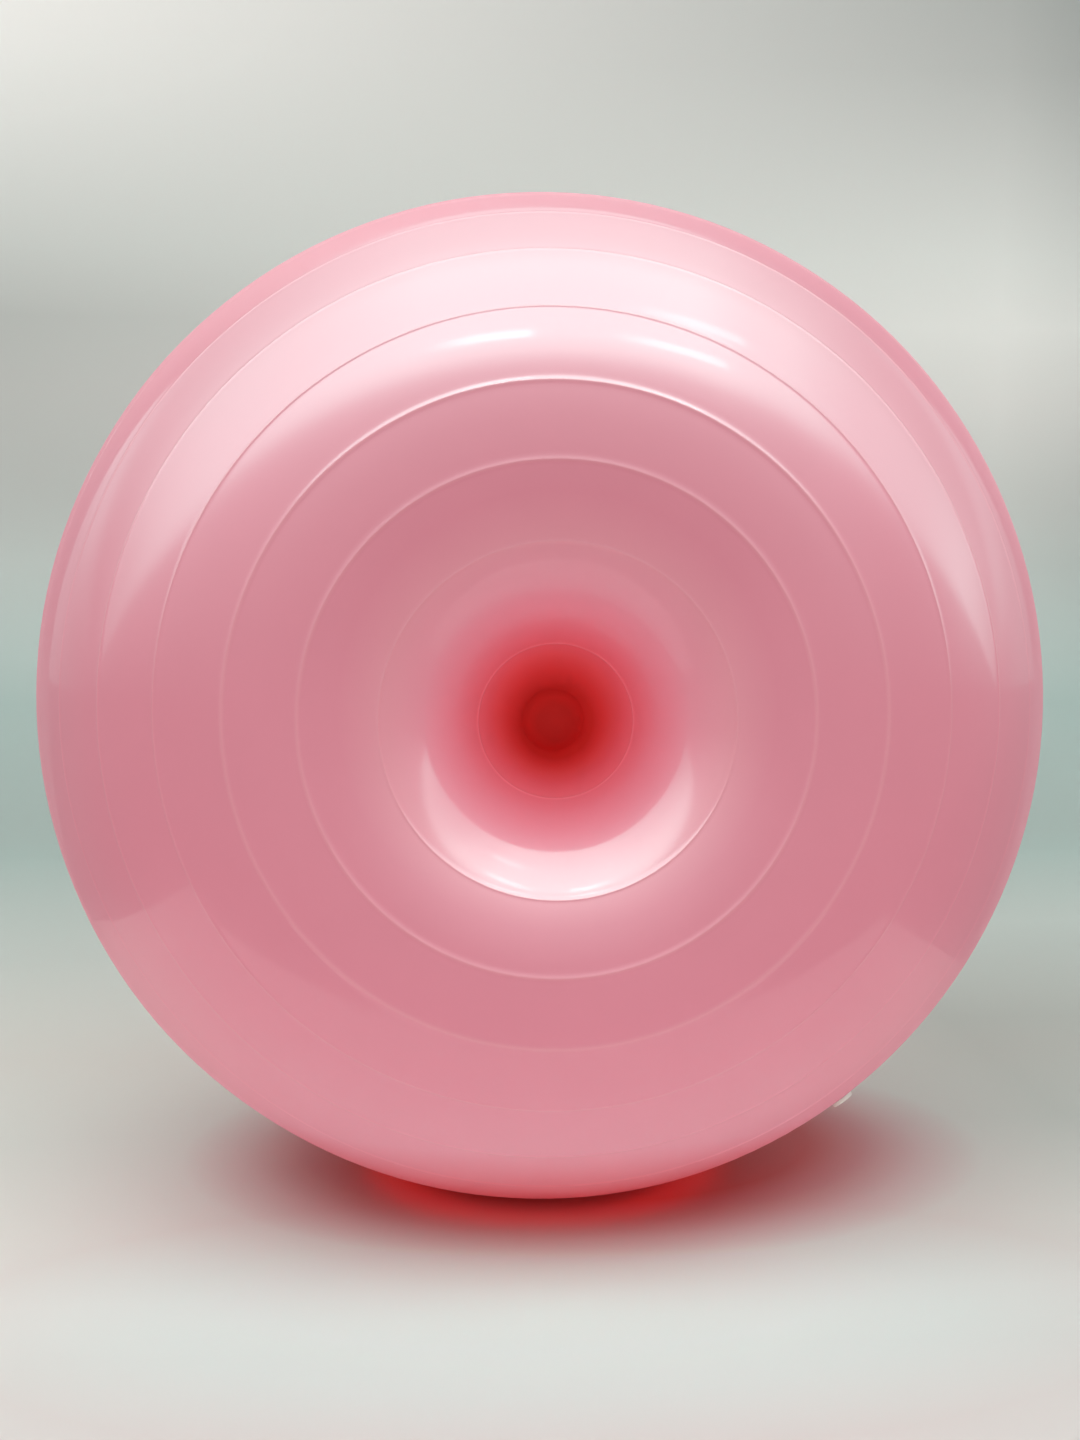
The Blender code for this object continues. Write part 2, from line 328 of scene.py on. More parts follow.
def skin_tree():
    tree = bpy.data.node_groups.new("inflated_skin", "GeometryNodeTree")
    tree.interface.new_socket("Geometry", in_out="OUTPUT", socket_type="NodeSocketGeometry")
    for label, value in SKIN_SIZES.items():
        kind = "NodeSocketInt" if isinstance(value, int) else "NodeSocketFloat"
        tree.interface.new_socket(label, in_out="INPUT", socket_type=kind)
    tree.interface.new_socket("Material", in_out="INPUT", socket_type="NodeSocketMaterial")
    given = tree.nodes.new("NodeGroupInput")
    size = {label: Field(given.outputs[label]) for label in SKIN_SIZES}
    joined = tree.nodes.new("GeometryNodeJoinGeometry")
    tree.links.new(outer_surface(tree, size), joined.inputs["Geometry"])
    tree.links.new(inner_surface(tree, size), joined.inputs["Geometry"])
    smooth = tree.nodes.new("GeometryNodeSetShadeSmooth")
    real = tree.nodes.new("GeometryNodeRealizeInstances")
    coloured = tree.nodes.new("GeometryNodeSetMaterial")
    done = tree.nodes.new("NodeGroupOutput")
    tree.links.new(joined.outputs["Geometry"], smooth.inputs["Geometry"])
    tree.links.new(smooth.outputs["Geometry"], real.inputs["Geometry"])
    tree.links.new(real.outputs["Geometry"], coloured.inputs["Geometry"])
    tree.links.new(given.outputs["Material"], coloured.inputs["Material"])
    tree.links.new(coloured.outputs["Geometry"], done.inputs["Geometry"])
    return tree


def grown(name, tree, sizes, finish):
    """A plain mesh object made by a geometry tree, with its sizes set on the modifier."""
    host = bpy.data.objects.new(name, bpy.data.meshes.new(name))
    modifier = host.modifiers.new("shape", "NODES")
    modifier.node_group = tree
    for socket in tree.interface.items_tree:
        if socket.in_out == "INPUT":
            modifier[socket.identifier] = sizes.get(socket.name, finish)
    bpy.context.scene.collection.objects.link(host)
    graph = bpy.context.evaluated_depsgraph_get()
    mesh = bpy.data.meshes.new_from_object(host.evaluated_get(graph))
    host.modifiers.remove(modifier)
    host.data = mesh
    mesh.name = name
    return host


def new_finish(name, roughness, ior):
    finish = bpy.data.materials.new(name)
    finish.use_nodes = True
    shader = finish.node_tree.nodes["Principled BSDF"]
    shader.inputs["Roughness"].default_value = roughness
    shader.inputs["IOR"].default_value = ior
    return finish, shader


def coloured_ramp(tree, value, stops):
    """A colour that runs through the stops, each a position and a colour, as the value grows."""
    ramp = tree.nodes.new("ShaderNodeValToRGB")
    connect(ramp.inputs["Fac"], value)
    elements = ramp.color_ramp.elements
    elements[0].position, elements[0].color = stops[0]
    elements[1].position, elements[1].color = stops[-1]
    for position, colour in stops[1:-1]:
        elements.new(position).color = colour
    return ramp.outputs["Color"]


# Base colour of the skin by distance from the dimple's middle, as a share of the coloured radius.
# Only the pink outside is the skin's own: inward it is painted light and shade, a paler pink for
# light that shines through the skin, the red of light passed from wall to wall in the dimple,
# redder the deeper it gets, and the dark painted shade of the throat.
COLOURED_RADIUS = 0.080
DIMPLE_PAINTED_LIGHT_COLOURS = (
    (0.10, (0.860, 0.060, 0.055, 1.0)),
    (0.15, (0.970, 0.066, 0.061, 1.0)),
    (0.20, (0.870, 0.062, 0.057, 1.0)),
    (0.25, (0.950, 0.092, 0.098, 1.0)),
    (0.31, (1.000, 0.152, 0.184, 1.0)),
    (0.38, (1.000, 0.210, 0.275, 1.0)),
    (0.50, (0.980, 0.300, 0.390, 1.0)),
    (0.63, (0.980, 0.355, 0.450, 1.0)),
    (0.80, (0.960, 0.350, 0.430, 1.0)),
    (1.00, (0.915, 0.290, 0.380, 1.0)),
)

# The painted colour's middle isn't quite the dimple's: past the first depth the deep red of the
# painted shade lies a little to the right and down, and before the second the pink round it lies
# a little up, which paints light on the dimple's lower wall and shade on its upper one. Both
# depths are in quarters of the half thickness.
QUARTERS = 4.0
PAINTED_SHADE_SHIFT, PAINTED_SHADE_START = 0.0015, 2.0
PAINTED_LIGHT_SHIFT, PAINTED_LIGHT_END = 0.0032, 2.8

# The painted shade and red reflection of the foot, the haze in the dimple and the matt throat each
# fade out over a width, and are gone at so many widths from the floor or from the dimple's middle.
FOOT_HEIGHT, FOOT_REACH = 0.055, 1.0
FOOT_PAINTED_SHADE = 0.95
THROAT_BLEND, THROAT_REACH = 0.010, 2.6
THROAT_ROUGHNESS = 0.90
DIMPLE_BLEND, DIMPLE_REACH = 0.020, 3.5
DIMPLE_ROUGHNESS = 0.44
SKIN_ROUGHNESS = 0.32
SKIN_IOR = 1.45
COAT_WEIGHT = 0.65
COAT_ROUGHNESS = 0.06
COAT_IOR = 1.5

# The gloss gets weaker and rougher where the skin turns away from the eye.
EDGE_SHARPNESS, EDGE_OFFSET = 2.0, 0.9
EDGE_FADE = 0.85
EDGE_ROUGHNESS = 0.30

# The ribs are paler by how far they stand out, in metres, times this.
PALE_RIB = (1.0, 0.42, 0.48, 1.0)
RIB_PALENESS = 1500.0
SMUDGE_SIZE = 0.040
SMUDGE_DETAIL = 4.0
SMUDGE_ROUGHNESS = 0.05
CLOUDINESS = 0.05
GRAIN_SIZE = 0.0012
GRAIN_DEPTH = 0.000004

# The places of a colour mix's two colours among its inputs, and of its result.
MIX_A, MIX_B, MIX_RESULT = 6, 7, 2


def fading_out(value, width, reach):
    """1 where the value is small, and 0 past as many widths as the reach says."""
    return (-value / width + reach).clamped()


def fine_noise(tree, coordinates, size, detail):
    """Noise on the piece's own coordinates, whose blotches are about as large as the size."""
    noise = add_node(tree, "ShaderNodeTexNoise", Scale=1.0 / size, Detail=detail, Roughness=0.5)
    tree.links.new(coordinates.outputs["Object"], noise.inputs["Vector"])
    return Field(noise.outputs["Fac"])


def uneven(tree, coordinates, colour, size, amount):
    """A colour, or a colour socket, whose brightness varies a little over the surface."""
    varied = tree.nodes.new("ShaderNodeVectorMath")
    varied.operation = "SCALE"
    if isinstance(colour, tuple):
        varied.inputs["Vector"].default_value = colour
    else:
        tree.links.new(colour, varied.inputs["Vector"])
    share = (fine_noise(tree, coordinates, size, SMUDGE_DETAIL) - 0.5) * amount + 1.0
    connect(varied.inputs["Scale"], share)
    return varied.outputs["Vector"]


def add_grain(tree, shader, coordinates, size, depth):
    """The faint unevenness that the mould leaves in a surface."""
    bump = add_node(tree, "ShaderNodeBump", Strength=1.0, Distance=depth)
    connect(bump.inputs["Height"], fine_noise(tree, coordinates, size, 2.0))
    tree.links.new(bump.outputs["Normal"], shader.inputs["Normal"])


def pink_pvc():
    """Soft glossy pink PVC, painted with light and shade: deep red in the throat, redder at the foot.
    """
    finish, shader = new_finish("pink_pvc", SKIN_ROUGHNESS, SKIN_IOR)
    shader.inputs["Coat Roughness"].default_value = COAT_ROUGHNESS
    shader.inputs["Coat IOR"].default_value = COAT_IOR
    tree = finish.node_tree
    coordinates = tree.nodes.new("ShaderNodeTexCoord")
    split = tree.nodes.new("ShaderNodeSeparateXYZ")
    tree.links.new(coordinates.outputs["Object"], split.inputs["Vector"])
    depth = -(Field(split.outputs["Y"]).math("ABSOLUTE")) / HALF_THICKNESS + 1.0
    deep = (depth * QUARTERS - PAINTED_SHADE_START).clamped()
    shallow = (-(depth * QUARTERS) + PAINTED_LIGHT_END).clamped()
    across = Field(split.outputs["X"]) - depth * SKIN_SIZES["Throat Drift"] - deep * PAINTED_SHADE_SHIFT
    up = Field(split.outputs["Z"]) - CENTRE_HEIGHT + depth * SKIN_SIZES["Throat Sag"]
    up = up + deep * PAINTED_SHADE_SHIFT - shallow * PAINTED_LIGHT_SHIFT
    radius = (across * across + up * up).math("SQRT")
    lift = tree.nodes.new("ShaderNodeAttribute")
    lift.attribute_name = "rib_lift"
    mix = tree.nodes.new("ShaderNodeMix")
    mix.data_type = "RGBA"
    connect(mix.inputs[0], (Field(lift.outputs["Fac"]) * RIB_PALENESS).clamped())
    # The dimple's painted light and shade, by the distance from its middle.
    by_radius = coloured_ramp(tree, radius / COLOURED_RADIUS, DIMPLE_PAINTED_LIGHT_COLOURS)
    tree.links.new(by_radius, mix.inputs[MIX_A])
    mix.inputs[MIX_B].default_value = PALE_RIB
    # Painted shade and a painted red reflection of the table at the foot: less green and blue near the
    # floor.
    near_foot = fading_out(Field(split.outputs["Z"]), FOOT_HEIGHT, FOOT_REACH)
    kept = near_foot * -FOOT_PAINTED_SHADE + 1.0
    painted_foot_shade = add_node(tree, "ShaderNodeCombineXYZ", X=1.0, Y=kept, Z=kept)
    skin_colour = tree.nodes.new("ShaderNodeVectorMath")
    skin_colour.operation = "MULTIPLY"
    tree.links.new(mix.outputs[MIX_RESULT], skin_colour.inputs[0])
    tree.links.new(painted_foot_shade.outputs["Vector"], skin_colour.inputs[1])
    cloudy = uneven(tree, coordinates, skin_colour.outputs["Vector"], SMUDGE_SIZE, CLOUDINESS)
    tree.links.new(cloudy, shader.inputs["Base Color"])
    in_throat = fading_out(radius, THROAT_BLEND, THROAT_REACH)
    in_dimple = fading_out(radius, DIMPLE_BLEND, DIMPLE_REACH)
    smudge = fine_noise(tree, coordinates, SMUDGE_SIZE, SMUDGE_DETAIL) - 0.5
    roughness = in_dimple * (DIMPLE_ROUGHNESS - SKIN_ROUGHNESS) + SKIN_ROUGHNESS
    roughness = roughness + in_throat * (THROAT_ROUGHNESS - DIMPLE_ROUGHNESS)
    turned_away = Field(tree.nodes.new("ShaderNodeLayerWeight").outputs["Facing"])
    near_edge = (turned_away * EDGE_SHARPNESS - EDGE_OFFSET).clamped()
    coat = (near_edge * -EDGE_FADE + 1.0) * (-in_throat + 1.0)
    connect(shader.inputs["Coat Weight"], coat * COAT_WEIGHT)
    roughness = roughness + near_edge * EDGE_ROUGHNESS
    connect(shader.inputs["Roughness"], roughness + smudge * SMUDGE_ROUGHNESS)
    add_grain(tree, shader, coordinates, GRAIN_SIZE, GRAIN_DEPTH)
    return finish


def applied_cut(target, cutter):
    """Cuts one mesh out of another for good, and removes the cutter."""
    boolean = target.modifiers.new("cut", "BOOLEAN")
    boolean.operation = "DIFFERENCE"
    boolean.solver = "MANIFOLD"
    boolean.object = cutter
    graph = bpy.context.evaluated_depsgraph_get()
    mesh = bpy.data.meshes.new_from_object(target.evaluated_get(graph))
    target.modifiers.remove(boolean)
    target.data = mesh
    bpy.data.objects.remove(cutter, do_unlink=True)


VALVE_CLOCK = radians(143)
VALVE_RIM_ANGLE = 5 / RIM_RIBS * pi / 2
SEAT_RADIUS = 0.009
GAP = 0.0003
HOLE_LENGTH = 0.020
ROUND_SEGMENTS = 96
SKIN_SHARP_ANGLE = radians(50)


def valve_matrix():
    """Stands a piece that was made along Z on the skin, along the axis that the plug slides on."""
    radius = CREST_RADIUS + RIM_WIDTH * sin(VALVE_RIM_ANGLE)
    height = HALF_THICKNESS * cos(VALVE_RIM_ANGLE)
    place = Vector((radius * sin(VALVE_CLOCK), -height, CENTRE_HEIGHT + radius * cos(VALVE_CLOCK)))
    axis = Vector(frame["joints"][0]["axis"]).normalized()
    return Matrix.Translation(place) @ axis.to_track_quat("Z", "Y").to_matrix().to_4x4()


def valve_hole():
    """A cylinder to cut out of the skin, a hair wider than the seat's face."""
    mesh = bpy.data.meshes.new("valve_hole")
    shape = bmesh.new()
    radius = SEAT_RADIUS + GAP
    bmesh.ops.create_cone(
        shape, cap_ends=True, segments=ROUND_SEGMENTS, radius1=radius, radius2=radius,
        depth=HOLE_LENGTH,
    )
    shape.to_mesh(mesh)
    shape.free()
    mesh.transform(valve_matrix())
    hole = bpy.data.objects.new("valve_hole", mesh)
    bpy.context.scene.collection.objects.link(hole)
    return hole


skin = grown("ball_skin_surface", skin_tree(), SKIN_SIZES, pink_pvc())
applied_cut(skin, valve_hole())
skin.data.set_sharp_from_angle(angle=SKIN_SHARP_ANGLE)
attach(skin, "ball")
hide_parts("ball_skin")

# Valve seat
# A soft PVC insert, welded into a hole in the rim, whose sleeve grips the plug's barbs. Its face is
# level with the skin, and its flange lies behind it.
CORNER_STEPS = 5
TURNED_SHARP_ANGLE = radians(40)


def rounded(corner, before, after, radius, steps):
    """Points that round off a corner of a section, given its neighbours."""
    corner = Vector(corner)
    start = corner + (Vector(before) - corner).normalized() * radius
    end = corner + (Vector(after) - corner).normalized() * radius
    points = []
    for index in range(steps + 1):
        share = index / steps
        point = start * (1 - share) ** 2 + corner * (2 * share * (1 - share)) + end * share**2
        points.append(tuple(point))
    return points


def rounded_section(corners, closed):
    """A section from corners that are each a radius, a height and a rounding."""
    points = []
    for index, (across, along, rounding) in enumerate(corners):
        at_end = not closed and index in (0, len(corners) - 1)
        if rounding == 0 or at_end:
            points.append((across, along))
            continue
        before = corners[index - 1][:2]
        after = corners[(index + 1) % len(corners)][:2]
        points += rounded((across, along), before, after, rounding, CORNER_STEPS)
    return points


def turned(name, section, closed, finish):
    """A solid turned round its own Z axis and stood on the valve's place on the skin. Its faces are
    sorted, because the spin leaves them in another order in each run."""
    shape = bmesh.new()
    points = [shape.verts.new((across, 0.0, along)) for across, along in section]
    ends = zip(points, points[1:] + points[:1]) if closed else zip(points, points[1:])
    outline = points + [shape.edges.new(pair) for pair in ends]
    bmesh.ops.spin(
        shape, geom=outline, axis=(0, 0, 1), cent=(0, 0, 0), steps=ROUND_SEGMENTS, angle=2 * pi,
        use_merge=True,
    )
    bmesh.ops.remove_doubles(shape, verts=shape.verts, dist=MERGE_DISTANCE)
    bmesh.ops.recalc_face_normals(shape, faces=shape.faces)
    shape.verts.index_update()
    places = [tuple(vert.co) for vert in shape.verts]
    faces = sorted([vert.index for vert in face.verts] for face in shape.faces)
    shape.free()
    mesh = bpy.data.meshes.new(name)
    mesh.from_pydata(places, [], faces)
    mesh.shade_smooth()
    mesh.transform(valve_matrix())
    mesh.materials.append(finish)
    mesh.set_sharp_from_angle(angle=TURNED_SHARP_ANGLE)
    made = bpy.data.objects.new(name, mesh)
    bpy.context.scene.collection.objects.link(made)
    return made


# Radius, height over the skin and rounding of each corner of the seat's section.
SEAT_CORNERS = (
    (0.0040, 0.0, 0.0005),
    (0.0090, 0.0, 0.0006),
    (0.0090, -0.0031, 0.0),
    (0.0140, -0.0031, 0.0004),
    (0.0140, -0.0053, 0.0007),
    (0.0064, -0.0053, 0.0006),
    (0.0064, -0.0153, 0.0006),
    (0.0040, -0.0153, 0.0004),
)

# What the two small moulded pieces share: the size and strength of their blotches of colour, of
# their patches of other roughness, and of their grain.
MOULDED_IOR = 1.5
BLOTCH_SIZE, BLOTCH_STRENGTH = 0.004, 0.10
PATCH_SIZE, PATCH_DETAIL, PATCH_STRENGTH = 0.002, 3.0, 0.12
MOULDED_GRAIN_SIZE, MOULDED_GRAIN_DEPTH = 0.0004, 0.000006


def moulded_finish(name, colour, roughness):
    """A plainly moulded plastic, slightly uneven in colour and with the grain of its mould."""
    finish, shader = new_finish(name, roughness, MOULDED_IOR)
    tree = finish.node_tree
    coordinates = tree.nodes.new("ShaderNodeTexCoord")
    blotched = uneven(tree, coordinates, colour, BLOTCH_SIZE, BLOTCH_STRENGTH)
    tree.links.new(blotched, shader.inputs["Base Color"])
    share = fine_noise(tree, coordinates, PATCH_SIZE, PATCH_DETAIL) - 0.5
    connect(shader.inputs["Roughness"], share * PATCH_STRENGTH + roughness)
    add_grain(tree, shader, coordinates, MOULDED_GRAIN_SIZE, MOULDED_GRAIN_DEPTH)
    return finish


SEAT_PVC = moulded_finish("seat_pvc", (0.72, 0.20, 0.27), 0.35)
seat = turned("valve_seat_surface", rounded_section(SEAT_CORNERS, True), True, SEAT_PVC)
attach(seat, "ball")
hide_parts("valve_seat")

# Air plug
# A white push-in plug moulded from a firmer plastic: a domed head, a neck, and a stem with three
# barbs and a tapered tip. A fingernail or a lever under the head pulls it out.
BARBS = 3
BARB_PITCH = 0.0043
FIRST_SHOULDER = -0.0025
STEM_RADIUS = 0.0028
BARB_RADIUS = 0.0037
SHOULDER_ROUNDING, BARB_ROUNDING, FOOT_ROUNDING = 0.0002, 0.0003, 0.0004
PLUG_TOP = (
    (0.0, 0.0022, 0.0),
    (0.0028, 0.00212, 0.0006),
    (0.0050, 0.00180, 0.0007),
    (0.0050, 0.0003, 0.0002),
    (STEM_RADIUS, 0.0003, 0.0003),
)
PLUG_END = (
    (STEM_RADIUS, -0.0155, 0.0004),
    (0.0015, -0.0190, 0.0005),
    (0.0, -0.0190, 0.0),
)


def plug_corners():
    """The plug's section from the top of its head down to its tip."""
    barbs = []
    for barb in range(BARBS):
        shoulder = FIRST_SHOULDER - barb * BARB_PITCH
        barbs.append((STEM_RADIUS, shoulder, SHOULDER_ROUNDING))
        barbs.append((BARB_RADIUS, shoulder - BARB_PITCH / 4, BARB_ROUNDING))
        barbs.append((STEM_RADIUS, shoulder - BARB_PITCH * 3 / 4, FOOT_ROUNDING))
    return PLUG_TOP + tuple(barbs) + PLUG_END


# The plug's white with painted shade and a painted pink reflection of the ball, which make it darker
# and pinker.
WHITE_PLUG = moulded_finish("white_plug", (0.81, 0.73, 0.68), 0.38)
plug = turned("air_plug_surface", rounded_section(plug_corners(), False), False, WHITE_PLUG)
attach(plug, "plug")
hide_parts("air_plug")

# Stage
# A pale table, about 0.8 m wide beside the ball and ending in front of it, that sweeps up into a
# pale wall, and a room that is bright above the ball and dark below the table's edges.
TABLE_FRONT = -0.285
TABLE_LEFT = -0.425
TABLE_RIGHT = 0.355
SWEEP_START = 0.75
SWEEP_RADIUS = 0.5
SWEEP_STEPS = 24
WALL_TOP = 2.4
HALF_WIDTH = 2.0
WIDENING = (0.12, 0.30)
BACKDROP_COLOUR = (0.78, 0.80, 0.77)
BACKDROP_ROUGHNESS = 0.6
BACKDROP_IOR = 1.45

# Painted light and shade on the backdrop: how pale it is, by the distance from the table's front
# edge along the table and up the wall, as a share of its toned length.
TONED_LENGTH = 2.8
BACKDROP_PAINTED_LIGHT = (
    (0.050, (1.00, 0.96, 0.97, 1.0)),
    (0.062, (1.07, 1.02, 1.03, 1.0)),
    (0.080, (1.05, 1.03, 1.02, 1.0)),
    (0.112, (0.90, 0.88, 0.87, 1.0)),
    (0.150, (0.83, 0.75, 0.74, 1.0)),
    (0.230, (0.67, 0.635, 0.635, 1.0)),
    (0.38, (0.50, 0.52, 0.52, 1.0)),
    (0.56, (0.50, 0.52, 0.52, 1.0)),
    (0.78, (1.00, 0.91, 0.92, 1.0)),
    (0.86, (1.08, 1.01, 1.02, 1.0)),
    (0.98, (1.11, 1.00, 1.02, 1.0)),
)

# Painted shade on the wall: past this distance along it, the wall gets darker from left to right,
# and just round it from right to left. Its far sides are painted darker too, from a distance off
# its middle and along it on.
TOP_START = 2.3
TOP_SLOPE = 0.43
TOP_RATE = 2.2
BAND_RATE, BAND_SHARE = 2.5, 0.7
SIDE_START, SIDE_DEPTH_START = 0.8, 0.9
SIDE_FALL = 0.9

# The soft shade on the table at the ball's right: how far along and across it lies, how quickly it
# fades, how wide it is, and how deep.
SHADE_ALONG, SHADE_ALONG_RATE, SHADE_WIDTH = 0.40, 4.0, 1.3
SHADE_ACROSS, SHADE_ACROSS_RATE = 0.08, 5.0
SHADE_DEPTH = 0.33

# Two patches of the table painted with light and shade, each with its middle, its reach to the side
# and to the front, and its tones by the distance from its middle: a painted shadow with the red
# light that shines through the ball, right round its foot, and painted light in front of it, paler
# and greener, against the pink light that the ball throws there.
TABLE_FOOT_SHADOW_PATCH = (0.022, 0.02), (0.20, 0.11), (
    (0.56, (0.82, 0.18, 0.20, 1.0)),
    (0.70, (0.88, 0.42, 0.46, 1.0)),
    (0.84, (0.96, 0.74, 0.77, 1.0)),
    (1.00, (1.00, 1.00, 1.00, 1.0)),
)
TABLE_FRONT_LIGHT_PATCH = (0.0, -0.115), (0.23, 0.08), (
    (0.00, (1.12, 1.50, 1.46, 1.0)),
    (0.40, (1.08, 1.34, 1.32, 1.0)),
    (0.65, (1.03, 1.21, 1.20, 1.0)),
    (1.00, (1.00, 1.00, 1.00, 1.0)),
)


def backdrop_finish():
    """Pale matt paint, with painted light and shade along the table, up the wall and by the ball."""
    finish, shader = new_finish("pale_backdrop", BACKDROP_ROUGHNESS, BACKDROP_IOR)
    tree = finish.node_tree
    coordinates = tree.nodes.new("ShaderNodeTexCoord")
    split = tree.nodes.new("ShaderNodeSeparateXYZ")
    tree.links.new(coordinates.outputs["Object"], split.inputs["Vector"])
    along = Field(split.outputs["Y"]) + Field(split.outputs["Z"]) - TABLE_FRONT
    across = Field(split.outputs["X"])
    # Painted shade, in the brightness level: the wall's slopes, its far sides and the shade at the
    # ball's right.
    from_top_start = along - TOP_START
    near_top = from_top_start.clamped() * TOP_RATE
    in_band = (-(from_top_start.math("ABSOLUTE")) * BAND_RATE + 1.0).clamped() * BAND_SHARE
    level = -(across * (near_top - in_band)) * TOP_SLOPE + 1.0
    beyond = (across.math("ABSOLUTE") - SIDE_START).clamped()
    beyond = beyond * (along - SIDE_DEPTH_START).clamped()
    level = level * (-beyond * SIDE_FALL + 1.0)
    from_shade = (along - SHADE_ALONG).math("ABSOLUTE")
    in_shade = (-from_shade * SHADE_ALONG_RATE + SHADE_WIDTH).clamped()
    in_shade = in_shade * ((across - SHADE_ACROSS) * SHADE_ACROSS_RATE).clamped()
    level = level * (-in_shade * SHADE_DEPTH + 1.0)
    factors = [BACKDROP_COLOUR]
    # The table's painted shadow and red light round the ball's foot, and its painted light in front.
    for middle, reach, stops in (TABLE_FOOT_SHADOW_PATCH, TABLE_FRONT_LIGHT_PATCH):
        by_x = (across - middle[0]) / reach[0]
        by_y = (Field(split.outputs["Y"]) - middle[1]) / reach[1]
        from_middle = (by_x * by_x + by_y * by_y).math("SQRT")
        factors.append(coloured_ramp(tree, from_middle, stops))
    tone = coloured_ramp(tree, along / TONED_LENGTH, BACKDROP_PAINTED_LIGHT)
    for factor in factors:
        tinted = tree.nodes.new("ShaderNodeVectorMath")
        tinted.operation = "MULTIPLY"
        tree.links.new(tone, tinted.inputs[0])
        if isinstance(factor, tuple):
            tinted.inputs[1].default_value = factor
        else:
            tree.links.new(factor, tinted.inputs[1])
        tone = tinted.outputs["Vector"]
    sloped = tree.nodes.new("ShaderNodeVectorMath")
    sloped.operation = "SCALE"
    tree.links.new(tone, sloped.inputs["Vector"])
    connect(sloped.inputs["Scale"], level)
    tree.links.new(sloped.outputs["Vector"], shader.inputs["Base Color"])
    return finish


def backdrop():
    """One sheet from the table's front edge, back and up the wall, with a kink on each side where
    the table starts to widen."""
    profile = [(TABLE_FRONT, 0.0)] + [(bend, 0.0) for bend in WIDENING] + [(SWEEP_START, 0.0)]
    for index in range(1, SWEEP_STEPS + 1):
        angle = index / SWEEP_STEPS * pi / 2
        profile.append((SWEEP_START + SWEEP_RADIUS * sin(angle), SWEEP_RADIUS * (1 - cos(angle))))
    profile.append((SWEEP_START + SWEEP_RADIUS, WALL_TOP))
    wall = SWEEP_START + SWEEP_RADIUS
    points = []
    for edge, far, bend in zip((TABLE_RIGHT, TABLE_LEFT), (HALF_WIDTH, -HALF_WIDTH), WIDENING):
        for along, up in profile:
            share = max(0.0, along - bend) / (wall - bend)
            points.append((edge + (far - edge) * share, along, up))
    points = points[len(profile):] + points[:len(profile)]
    count = len(profile)
    faces = [(i, i + count, i + count + 1, i + 1) for i in range(count - 1)]
    mesh = bpy.data.meshes.new("backdrop")
    mesh.from_pydata(points, [], faces)
    mesh.materials.append(backdrop_finish())
    mesh.shade_smooth()
    sheet = bpy.data.objects.new("backdrop", mesh)
    bpy.context.scene.collection.objects.link(sheet)
    return sheet


backdrop()

# The room's brightness by the height of a direction, as a share of the span from its bottom in
# front, over the top, to the horizon behind, and by its side, from left to right.
ROOM_BOTTOM = radians(20)
ROOM_SPAN = radians(200)
ROOM_BY_HEIGHT = (
    (0.088, 0.00),
    (0.165, 0.17),
    (0.255, 0.32),
    (0.280, 0.48),
    (0.308, 1.08),
    (0.336, 1.25),
    (0.400, 1.10),
    (0.510, 0.85),
    (0.560, 0.49),
    (0.600, 0.35),
    (0.695, 0.22),
    (0.760, 0.38),
    (0.800, 0.36),
    (0.860, 0.20),
    (1.000, 0.13),
)
ROOM_BY_SIDE = (
    (0.00, 0.04),
    (0.11, 0.25),
    (0.16, 0.42),
    (0.23, 0.60),
    (0.32, 0.75),
    (0.42, 1.00),
    (0.62, 1.00),
    (0.66, 0.78),
    (0.70, 0.70),
    (0.72, 0.58),
    (0.76, 0.45),
    (0.83, 0.38),
    (0.90, 0.42),
    (1.00, 0.08),
)
ROOM_PEAK = 10.0
MIRRORED_AMBIENT = 0.18
CAMERA_GREY = (0.62, 0.64, 0.61, 1.0)

# Spread light that comes from everywhere, by the sine of its direction's height over the horizon,
# as a share of the way from straight down to straight up.
AMBIENT_BY_LIFT = (
    (0.00, 0.26),
    (0.35, 0.26),
    (0.45, 0.95),
    (0.53, 0.95),
    (0.56, 0.13),
    (0.80, 0.13),
    (0.88, 0.85),
    (0.95, 1.00),
    (1.00, 1.00),
)
AMBIENT_PEAK = 1.72
AMBIENT_BIAS = -0.03
AMBIENT_TINT = (0.98, 1.0, 0.97)
MIRRORED_TINT = (0.56, 1.0, 0.94)

# Lamps in the room that only the gloss shows: the lowest and highest height and the left and right
# end, in degrees, how soft the ends are, and how much brighter than the room they are. The left end
# is softer than the others by a factor.
LEFT_END_SOFTNESS = 6.0
PANES = (
    (45.5, 49.5, -13.0, 0.5, 1.0, 9.0),
    (45.5, 49.5, 9.0, 24.5, 1.0, 7.0),
    (62.0, 67.0, 12.0, 29.5, 1.5, 5.0),
)


def grey_stops(pairs):
    return [(position, (level, level, level, 1.0)) for position, level in pairs]


def lit_pane(height, side, low, high, left, right, softness, level):
    """A field that is at its level inside a pane and fades to nothing at the pane's edges."""
    soft = radians(softness)
    above = ((height - radians(low)) / soft).clamped() * ((-height + radians(high)) / soft).clamped()
    within = ((side - radians(left)) / (soft * LEFT_END_SOFTNESS)).clamped()
    within = within * ((-side + radians(right)) / soft).clamped()
    return above * within * level


